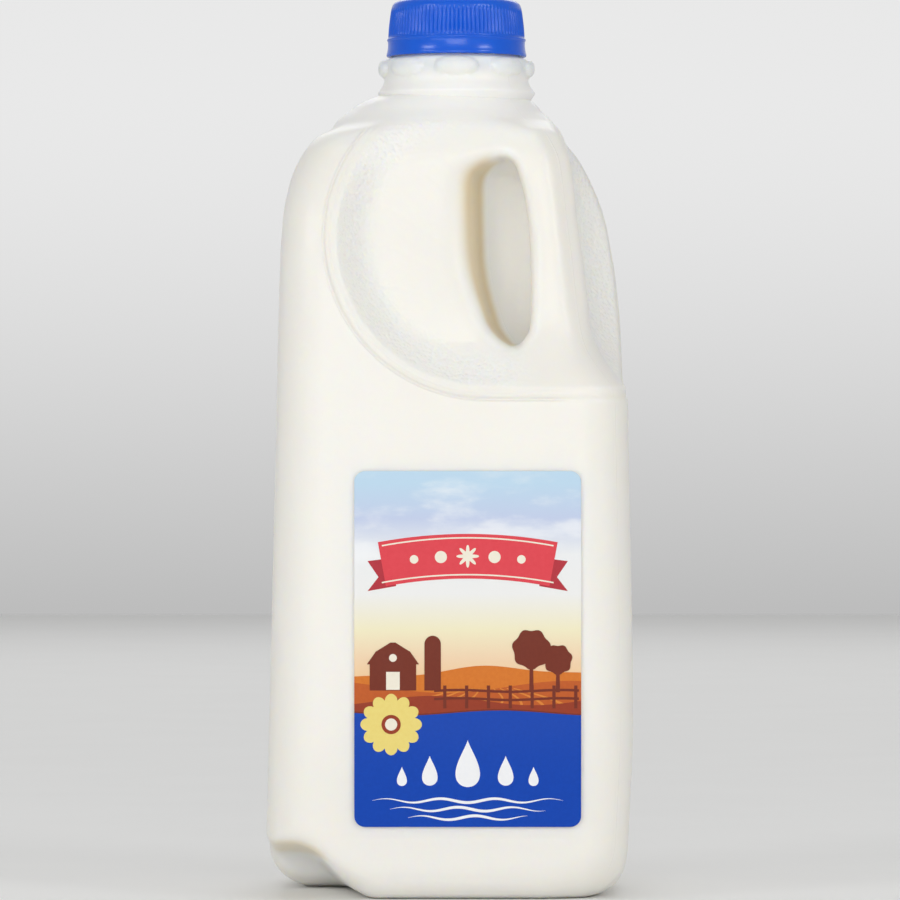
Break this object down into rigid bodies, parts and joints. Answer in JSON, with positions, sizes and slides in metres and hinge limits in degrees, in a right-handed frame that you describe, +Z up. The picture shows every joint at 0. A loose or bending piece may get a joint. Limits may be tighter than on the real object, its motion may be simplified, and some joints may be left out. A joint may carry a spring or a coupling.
{
  "type": "plastic milk jug",
  "caption": "Shut square milk jug in cloudy white plastic, with a handle moulded into one corner, round grip recesses, a ribbed blue cap and a printed label.",
  "frame": {"origin": "centre of the jug's square plan, on the surface that it stands on", "axes": "+Z up along the neck, -Y out of the label face, and the handle stands at the +X -Y corner"},
  "size_m": [0.1033, 0.1039, 0.2561],
  "materials": {
    "jug_plastic": "satin cloudy white plastic, cream with the milk behind it",
    "cap_plastic": "glossy blue plastic",
    "label_print": "smooth printed film"
  },
  "bodies": {
    "root": {"jug": "jug_plastic", "cap": "cap_plastic", "label": "label_print"}
  },
  "joints": []
}
